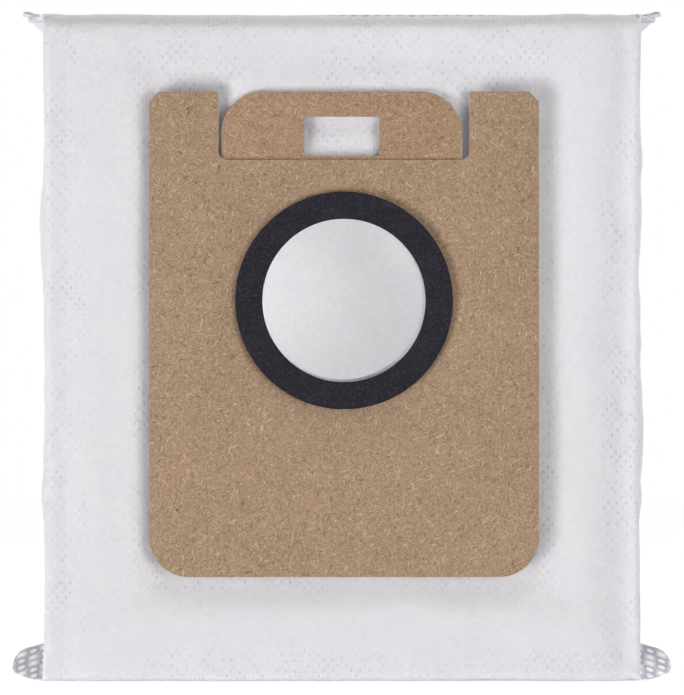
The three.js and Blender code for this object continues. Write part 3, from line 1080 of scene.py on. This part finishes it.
    def ripples(self, places: np.ndarray) -> np.ndarray:
        """Gives the cloth's small unevenness: broad hollows, and upright folds beside the pressed edges.

        Args:
            places: The cloth's points.

        Returns:
            How far each point moves out.
        """
        form = self.form
        out = np.zeros(len(places))
        for i, (x, y, z) in enumerate(places):
            broad = noise.noise(Vector((x, y, z)) / self.broad_scale)
            small = noise.noise(Vector((x, y, z + 0.3)) / self.small_scale)
            upright = noise.noise(Vector((x, y, z * self.upright_stretch)) / self.upright_scale)
            beside = abs(x - form.shift) > form.half_width - self.upright_reach
            folds = self.upright * upright * (1.0 if beside else self.upright_inside)
            out[i] = self.broad * broad + self.small * small + folds
        return out

    def pad(self, points: np.ndarray, rear: float) -> np.ndarray:
        """Brings the front panel forward to the cards round the inlet, and shapes it round them.

        Args:
            points: The cloth's points.
            rear: The nearest that the cloth may come to the cards' rear face.

        Returns:
            The moved points.
        """
        form = self.form
        near, far = self.front_fade
        front = 1 - smooth(points[:, 1], form.panel_front + near, form.panel_front + far)
        points[:, 1] -= self.forward(points[:, 0], points[:, 2]) * front
        in_front = points[:, 1] < form.middle
        behind = in_front & ~((np.abs(points[:, 0]) < self.notch_half) & (points[:, 2] > self.notch_floor))
        for axis in (0, 2):
            behind &= points[:, axis] > form.card_low[axis] - self.card_margin
            behind &= points[:, axis] < form.card_high[axis] + self.card_margin
        points[behind, 1] = np.maximum(points[behind, 1], rear)
        points[in_front, 1] = np.maximum(points[in_front, 1], self.shutter_gap)
        return points

    def hold(self, points: np.ndarray) -> np.ndarray:
        """Gives how firmly each point is held: the glue, the base, the ridge, the corners, the collar.

        Args:
            points: The cloth's points.

        Returns:
            From 0 where a point is free to 1 where it stays.
        """
        form = self.form
        x, y, z = points.T
        in_front = y < form.middle
        away = np.hypot(x - form.inlet.x, z - form.inlet.z)
        glued = (1 - smooth(away, form.pad_flat, form.pad_flat + self.glue_hold)) * in_front
        under, over = self.base_hold
        folded = 1 - smooth(z, form.seam - under, form.seam + over)
        start, end = self.ridge_hold
        ridge = smooth(z, form.ridge - start, form.ridge - end)
        start, end = self.corner_hold
        corner = smooth(np.abs(x - form.shift), form.half_width - start, form.half_width - end)
        corner *= np.abs(np.abs(y - form.middle) - form.half_depth) < self.corner_depth
        collar = (1 - smooth(np.abs(x), *self.collar_beside)) * in_front
        collar *= smooth(z, *self.collar_below) * (1 - smooth(z, *self.collar_above))
        shares = [glued, self.base_share * folded, ridge, self.corner_share * corner]
        return np.clip(np.maximum.reduce([*shares, self.collar_share * collar]), 0, 1)

    def relax(self, cloth: bpy.types.Object) -> None:
        """Lets the cloth fill out under a little pressure, held at its welds and its glue.

        Args:
            cloth: The lofted cloth, whose mesh is changed.
        """
        rest = points_of(cloth)
        group = cloth.vertex_groups.new(name="held")
        for i, weight in enumerate(self.hold(rest)):
            group.add([i], float(weight), "REPLACE")
        sim = cloth.modifiers.new("cloth", "CLOTH")
        settings = {
            "quality": 6,
            "mass": 0.05,
            "tension_stiffness": 12,
            "compression_stiffness": 6,
            "shear_stiffness": 4,
            "bending_stiffness": 0.15,
            "air_damping": 2.0,
            "use_pressure": True,
            "uniform_pressure_force": 0.9,
            "shrink_min": -0.012,
            "vertex_group_mass": "held",
            "pin_stiffness": 6,
        }
        for name, value in settings.items():
            setattr(sim.settings, name, value)
        sim.settings.effector_weights.gravity = 0
        sim.collision_settings.use_collision = False
        sim.collision_settings.use_self_collision = False
        sim.point_cache.frame_start = 1
        sim.point_cache.frame_end = self.frames
        for number in range(1, self.frames + 1):
            bpy.context.scene.frame_set(number)
        apply_all(cloth)
        bpy.context.scene.frame_set(1)
        step = points_of(cloth) - rest
        length = np.linalg.norm(step, axis=1, keepdims=True)
        limit = self.reach_cap * np.tanh(length / self.reach_cap)
        least = 1e-9
        move_points(cloth, rest + step * np.where(length > least, limit / np.maximum(length, least), 0))
        cloth.vertex_groups.clear()

    def finish(self, cloth: bpy.types.Object) -> None:
        """Smooths the cloth, keeps it off the cards, gives it thickness and cuts the inlet."""
        form = self.form
        smoother = cloth.modifiers.new("smooth", "SUBSURF")
        smoother.levels = smoother.render_levels = 1
        apply_all(cloth)
        points = points_of(cloth)
        normals = np.array([vertex.normal for vertex in cloth.data.vertices])
        points += normals * self.ripples(points)[:, None]
        points = self.pad(points, form.cloth_front)
        points[:, 1] = np.minimum(points[:, 1], form.panel_back + self.back_room)
        points[:, 2] = np.maximum(points[:, 2], form.base)
        move_points(cloth, points)
        solid = cloth.modifiers.new("thickness", "SOLIDIFY")
        solid.thickness = form.wall
        solid.offset = -1
        solid.use_even_offset = False
        apply_all(cloth)
        bpy.ops.object.select_all(action="DESELECT")
        bpy.ops.mesh.primitive_cylinder_add(
            vertices=self.hole_sides,
            radius=form.hole_radius,
            depth=self.punch_depth,
            location=(
                form.inlet.x + form.hole_shift[0],
                form.cloth_front,
                form.inlet.z + form.hole_shift[1],
            ),
            rotation=(math.pi / 2, 0.0, 0.0),
        )
        punch = bpy.context.object
        settle(punch)
        cut = cloth.modifiers.new("inlet", "BOOLEAN")
        cut.operation = "DIFFERENCE"
        cut.solver = "FAST"
        cut.object = punch
        apply_all(cloth)
        bpy.data.objects.remove(punch)
        pick(cloth)
        bpy.ops.object.shade_smooth_by_angle(angle=self.shade_angle)

    def build(self, groups: Groups) -> bpy.types.Object:
        """Builds and dresses the cloth bag."""
        points, faces = self.outline()
        cloth = mesh_piece("cloth_bag", points, faces)
        self.relax(cloth)
        self.finish(cloth)
        material = ClothFinish("filter_cloth").material(groups)
        hand_over(cloth, material, Body.BAG, "filter_bag")
        return cloth


@dataclass
class WeldStrip:
    """A flat welded strip with its pressed pattern of ovals and its two ears."""

    form: BagForm
    side: Side
    columns: int = 520
    rows: int = 44
    thin: float = 0.9 * MM
    oval_rise: float = 0.36 * MM
    oval_column: float = 3.25 * MM
    oval_row: float = 1.75 * MM
    oval_slope: float = 0.35
    wave: tuple[float, float] = (0.06 * MM, 0.35 * MM)
    wave_lengths: tuple[float, float] = (13 * MM, 5.3 * MM)
    wing_painted_shade: float = 0.3
    hang: float = 0.8 * MM
    behind_seam: float = 0.6 * MM
    depth: float = 9.0 * MM
    ear_start: float = 82.6 * MM
    ear_drop: float = 4.2 * MM
    ear_curl: float = 1.0 * MM
    ear_run: float = 3 * MM
    wing_run: tuple[float, float] = (82 * MM, 84 * MM)
    oval_size: tuple[float, float] = (0.33, 0.3)
    oval_rim: tuple[float, float] = (0.6, 1.2)
    plain_rim: tuple[float, float] = (0.1 * MM, 0.7 * MM)
    upper_ends: tuple[tuple[float, float], ...] = ((0, 88.0), (0.15, 89.0), (1, 89.2))
    lower_ends: tuple[tuple[float, float], ...] = (
        (0, 84.4), (0.05, 86.6), (0.105, 88.7), (0.17, 90.5), (0.23, 91.6),
        (0.29, 92.0), (0.36, 92.05), (0.45, 91.9), (0.53, 91.6), (0.63, 91.1),
        (0.7, 90.5), (0.78, 89.7), (0.85, 88.2), (0.9, 86.0), (1, 82.6),
    )
    shade_angle: float = math.radians(60)

    def half_length(self, up: np.ndarray) -> np.ndarray:
        """Gives half the strip's length at a share of its height, from its free edge."""
        shares, halves = zip(*(self.upper_ends if self.side is Side.UPPER else self.lower_ends))
        return np.interp(up, shares, [half * MM for half in halves])

    def press(self, place: np.ndarray, height: float) -> np.ndarray:
        """Gives the pressed pattern at each point of the flat strip.

        Args:
            place: Points with length, height from the free edge, and thickness.
            height: The strip's height.

        Returns:
            How deep the groove round the ovals is, from 0 on an oval and at the long edges to 1.
        """
        outer = np.abs(place[:, 0])
        level = place[:, 1] + self.oval_slope * (outer - self.ear_start)
        row = np.floor(level / self.oval_row)
        column = outer / self.oval_column
        u = (column - np.floor(column) - 0.5) * self.oval_column
        v = (level / self.oval_row - row - 0.5) * self.oval_row
        wide, tall = self.oval_size
        away = np.sqrt((u / (wide * self.oval_column)) ** 2 + (v / (tall * self.oval_row)) ** 2)
        uneven = 0.8 + 0.2 * np.sin(3.1 * np.floor(column) + 1.7 * row)
        rim = np.minimum(place[:, 1], height - place[:, 1])
        return uneven * smooth(away, *self.oval_rim) * smooth(rim, *self.plain_rim)

    def build(self, groups: Groups) -> bpy.types.Object:
        """Builds and dresses the strip, from a flat grid that is tapered, thickened and pressed."""
        bpy.ops.object.select_all(action="DESELECT")
        bpy.ops.mesh.primitive_grid_add(x_subdivisions=self.columns, y_subdivisions=self.rows, size=2.0)
        strip = bpy.context.object
        strip.name = f"{self.side.value}_weld"
        flat = points_of(strip)
        up = (flat[:, 1] + 1) / 2
        height = self.form.cleft_height if self.side is Side.LOWER else self.depth
        move_points(strip, np.stack([flat[:, 0] * self.half_length(up), up * height, 0 * up], axis=1))
        solid = strip.modifiers.new("thickness", "SOLIDIFY")
        solid.thickness = self.thin
        solid.offset = 0
        apply_all(strip)
        place = points_of(strip)
        groove = self.press(place, height)
        if self.side is Side.UPPER:
            wing = (place[:, 2] < 0) & (np.abs(place[:, 0]) > self.ear_start - self.ear_run)
            groove[wing] = 0.0
        # The groove attribute darkens the strip's colour: painted shade in the grooves and on the wings.
        mark = strip.data.attributes.new("groove", "FLOAT", "POINT")
        # The wings are darkened towards their tips: painted shade, added to the grooves' painted shade.
        groove_and_wing_shade = np.maximum(groove, self.wing_painted_shade * smooth(np.abs(place[:, 0]), *self.wing_run))
        mark.data.foreach_set("value", groove_and_wing_shade.astype(np.float32))
        place[:, 2] -= np.sign(place[:, 2]) * self.oval_rise * groove
        long, short = self.wave_lengths
        wave = np.sin(place[:, 0] / long) + 0.5 * np.sin(place[:, 0] / short + 1)
        place[:, 2] += self.wave[self.side is Side.LOWER] * wave * (1 - place[:, 1] / height)
        move_points(strip, self.place(place, height))
        pick(strip)
        bpy.ops.object.mode_set(mode="EDIT")
        bpy.ops.mesh.select_all(action="SELECT")
        bpy.ops.mesh.normals_make_consistent(inside=False)
        bpy.ops.object.mode_set(mode="OBJECT")
        bpy.ops.object.shade_smooth_by_angle(angle=self.shade_angle)
        # The welds' face is greyer than the cloth's: partly the pressed strip's own tone, partly painted
        # shade.
        weld = ClothFinish(
            f"{self.side.value}_weld", face=linear(230, 230, 233), through=0.05, bonded=False, groove_shaded=True
        )
        hand_over(strip, weld.material(groups), Body.BAG, "filter_bag")
        return strip

    def place(self, flat: np.ndarray, height: float) -> np.ndarray:
        """Puts the flat strip in its place on the bag.

        Args:
            flat: Points with length, height from the free edge, and thickness.
            height: The strip's height.

        Returns:
            The points in the row frame.
        """
        form = self.form
        x = flat[:, 0] + form.shift
        if self.side is Side.LOWER:
            return np.stack([x, form.middle - flat[:, 2], form.base - self.hang + flat[:, 1]], axis=1)
        behind = height - flat[:, 1] + self.behind_seam
        outer = np.abs(flat[:, 0])
        ear = np.clip((outer - self.ear_start) / (form.head_half - self.ear_start), 0, 1)
        drop = self.ear_drop * (1 - ear) * smooth(outer, self.ear_start - self.ear_run, self.ear_start)
        z = form.roof_at(behind) + self.thin / 2 + flat[:, 2] + self.ear_curl * ear**2
        z -= drop * (flat[:, 2] < 0)
        return np.stack([x, form.middle + behind, z], axis=1)


@dataclass
class Studio:
    """Camera, soft lamps, floor and white surroundings."""

    pixel: float = 0.276 * MM
    image: tuple[int, int] = (684, 695)
    collar_middle_px: float = 344.0
    collar_foot_px: float = 577.0
    distance: float = 2.5
    sensor: float = 36.0
    world_light: float = 0.19
    floor_drop: float = 1.0 * MM
    floor_grey: tuple[float, float, float, float] = (0.5, 0.5, 0.51, 1.0)
    floor_glow: float = 1.08
    floor_share: float = 0.9
    aim: tuple[float, float, float] = (0.0, 0.03, 0.06)
    soft_lamps: tuple[tuple[str, float, float, float, float, float], ...] = (
        ("key_low_left", -36.0, -20.0, 2.2, 0.9, 0.53),
        ("fill_low_right", 24.0, -2.0, 1.8, 0.8, 0.46),
        ("high", 4.0, 54.0, 1.8, 0.7, 0.13),
        ("back_left", -132.0, 10.0, 1.7, 0.8, 0.26),
        ("back_right", 132.0, 10.0, 1.7, 0.8, 0.26),
        ("back_high", 182.0, 20.0, 1.5, 0.8, 0.42),
    )
    overhead_place: tuple[float, float, float] = (0.0, 0.1, 1.4)
    overhead_size: float = 0.9
    overhead_power: float = 3.0

    def camera(self) -> None:
        """Makes the camera, straight in front at the photograph's framing."""
        width, height = self.image
        x = (width / 2 - self.collar_middle_px) * self.pixel
        z = (self.collar_foot_px - height / 2) * self.pixel
        data = bpy.data.cameras.new("camera")
        data.sensor_width = self.sensor
        data.sensor_fit = "HORIZONTAL"
        data.lens = self.sensor * self.distance / (width * self.pixel)
        data.clip_end = 20.0
        camera = bpy.data.objects.new("camera", data)
        camera.location = (x, -self.distance, z)
        camera.rotation_euler = (math.pi / 2, 0.0, 0.0)
        bpy.context.scene.collection.objects.link(camera)
        bpy.context.scene.camera = camera

    def lamp(self, name: str, place: Sequence[float], size: float, power: float) -> None:
        """Hangs one square soft lamp, aimed at the bag's middle.

        Args:
            name: The lamp's name.
            place: Where it hangs.
            size: Its side.
            power: Its power in watts.
        """
        data = bpy.data.lights.new(name, "AREA")
        data.size = size
        data.energy = power
        lamp = bpy.data.objects.new(name, data)
        lamp.location = place
        aim = Vector(self.aim) - Vector(place)
        lamp.rotation_euler = aim.to_track_quat("-Z", "Y").to_euler()
        bpy.context.scene.collection.objects.link(lamp)

    def world(self) -> None:
        """Makes the surroundings: even light on the object, white behind it."""
        world = bpy.data.worlds.new("surroundings")
        bpy.context.scene.world = world
        world.use_nodes = True
        kit = Nodes(world.node_tree)
        world.node_tree.nodes.clear()
        path = kit.add("ShaderNodeLightPath")
        seen = kit.math("MAXIMUM", path.outputs["Is Camera Ray"], path.outputs["Is Glossy Ray"])
        seen = kit.math("MAXIMUM", seen, path.outputs["Is Transmission Ray"])
        strength = kit.math("MULTIPLY_ADD", seen, 1.0 - self.world_light, self.world_light)
        back = kit.add("ShaderNodeBackground")
        back.inputs["Color"].default_value = (1.0, 1.0, 1.0, 1.0)
        kit.feed(back.inputs["Strength"], strength)
        out = kit.add("ShaderNodeOutputWorld")
        kit.feed(out.inputs["Surface"], back.outputs["Background"])

    def floor(self, level: float) -> None:
        """Lays the pale floor: white to the camera with a soft shadow, and open to the low lamps' light."""
        bpy.ops.object.select_all(action="DESELECT")
        bpy.ops.mesh.primitive_plane_add(size=6.0, location=(0.0, 0.0, level))
        floor = bpy.context.object
        floor.name = "floor"
        settle(floor)
        material, kit, shader = new_material("floor_white")
        shader.inputs["Base Color"].default_value = self.floor_grey
        shader.inputs["Roughness"].default_value = 0.9
        glow = kit.add("ShaderNodeEmission")
        glow.inputs["Strength"].default_value = self.floor_glow
        path = kit.add("ShaderNodeLightPath")
        seen = kit.add("ShaderNodeMixShader")
        kit.feed(seen.inputs[0], kit.math("MULTIPLY", path.outputs["Is Camera Ray"], self.floor_share))
        kit.feed(seen.inputs[1], shader.outputs["BSDF"])
        kit.feed(seen.inputs[2], glow.outputs["Emission"])
        clear = kit.add("ShaderNodeBsdfTransparent")
        blend = kit.add("ShaderNodeMixShader")
        kit.feed(blend.inputs[0], path.outputs["Is Shadow Ray"])
        kit.feed(blend.inputs[1], seen.outputs["Shader"])
        kit.feed(blend.inputs[2], clear.outputs["BSDF"])
        out = next(n for n in material.node_tree.nodes if n.type == "OUTPUT_MATERIAL")
        kit.feed(out.inputs["Surface"], blend.outputs["Shader"])
        dress(floor, material)

    def soft_lamp(
        self, name: str, turn: float, rise: float, away: float, size: float, level: float
    ) -> None:
        """Hangs a lamp in a direction from the collar, at a share of the full light level.

        Args:
            name: The lamp's name.
            turn: Degrees round from straight in front, to the right.
            rise: Degrees above the horizon.
            away: Its distance.
            size: Its side.
            level: The share of full light that it gives an upright face turned to its side of the room.
        """
        around, up = math.radians(turn), math.radians(rise)
        ray = Vector((math.sin(around) * math.cos(up), -math.cos(around) * math.cos(up), math.sin(up)))
        power = level * math.pi**2 * away**2 / max(abs(ray.y), 0.3)
        self.lamp(name, Vector(self.aim) + away * ray, size, power)

    def build(self, base: float) -> None:
        """Sets the whole studio up around the object."""
        self.camera()
        self.world()
        for settings in self.soft_lamps:
            self.soft_lamp(*settings)
        self.lamp("overhead", self.overhead_place, self.overhead_size, self.overhead_power)
        self.floor(base - self.floor_drop)
        bpy.context.scene.view_settings.view_transform = "Standard"


def main() -> None:
    """Builds the dressed dust bag and its studio, and logs each piece's number of faces."""
    logging.basicConfig(level=logging.INFO, format="%(name)s: %(message)s")
    bpy.ops.object.select_all(action="SELECT")
    bpy.ops.object.delete()
    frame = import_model()
    groups = Groups()
    outer = KraftFinish("kraft_card", face=linear(134, 110, 90))
    inner = KraftFinish("kraft_core", face=linear(130, 105, 84))
    slider = KraftFinish("shutter_kraft", face=linear(134, 108, 86))
    cards = (
        Card("front_card", "collar_front", Body.BAG, outer),
        Card("middle_card", "collar_core", Body.BAG, inner),
        Card("back_card", "collar_rear", Body.BAG, outer),
        Card("shutter_card", "shutter", Body.SHUTTER, slider),
    )
    pieces = [card.build(frame, groups) for card in cards]
    pieces.append(FoamSeal().build(groups))
    form = BagForm()
    welds = [WeldStrip(form, side).build(groups) for side in Side]
    cloth = ClothBag(form).build(groups)
    for piece in (*pieces, *welds, cloth):
        LOG.info("%s: %d faces", piece.name, len(piece.data.polygons))
    Studio().build(form.base)


if __name__ == "__main__":
    main()
